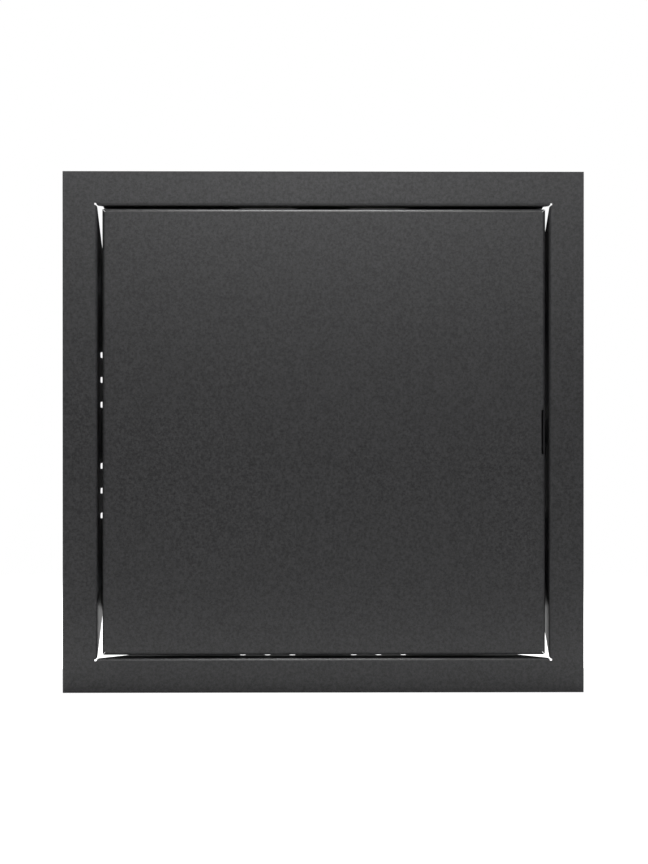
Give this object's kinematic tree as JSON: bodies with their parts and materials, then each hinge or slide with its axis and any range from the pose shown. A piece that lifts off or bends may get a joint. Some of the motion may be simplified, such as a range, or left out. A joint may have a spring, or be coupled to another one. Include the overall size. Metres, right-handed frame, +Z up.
{
  "type": "access panel",
  "caption": "Square flush-mounted steel access panel: folded frame with flange and bend-out wall ties, and a side-hung leaf on concealed pin hinges with a magnetic catch.",
  "frame": {"origin": "centre of the frame's opening, in the plane of the wall surface that the back of the flange rests on", "axes": "+X to the right as seen from the room, +Z up, +Y into the wall"},
  "size_m": [0.23, 0.0315, 0.23],
  "materials": {
    "graphite_powder_coat": "satin fine-textured powder coat over folded sheet steel",
    "zinc_plated_steel": "clear-passivated zinc plating on pressed strip",
    "bright_steel": "turned or headed bright steel",
    "spring_steel": "phosphated spring steel",
    "natural_nylon": "turned natural nylon",
    "moulded_housing": "injection-moulded satin plastic",
    "ferrite": "pressed and sintered ferrite block, dull charcoal"
  },
  "bodies": {
    "frame": {"frame": "graphite_powder_coat", "upper_hinge_arm": "zinc_plated_steel", "lower_hinge_arm": "zinc_plated_steel", "upper_arm_rivets": "bright_steel", "lower_arm_rivets": "bright_steel", "magnet_housing": "moulded_housing", "magnet": "ferrite", "inner_pole_plate": "bright_steel", "outer_pole_plate": "bright_steel", "housing_rivets": "bright_steel"},
    "door": {"door_leaf": "graphite_powder_coat", "upper_hinge_bracket": "zinc_plated_steel", "lower_hinge_bracket": "zinc_plated_steel", "upper_hinge_pin": "bright_steel", "lower_hinge_pin": "bright_steel", "upper_pin_clip": "spring_steel", "lower_pin_clip": "spring_steel", "upper_hinge_washer": "natural_nylon", "lower_hinge_washer": "natural_nylon", "strike_plate": "zinc_plated_steel", "strike_rivets": "bright_steel"}
  },
  "joints": [
    {"name": "door_hinge", "type": "hinge", "parent": "frame", "child": "door", "pos_m": [-0.08955, 0.0045, 0], "axis": [0, 0, -1], "range_deg": [0, 120]}
  ]
}
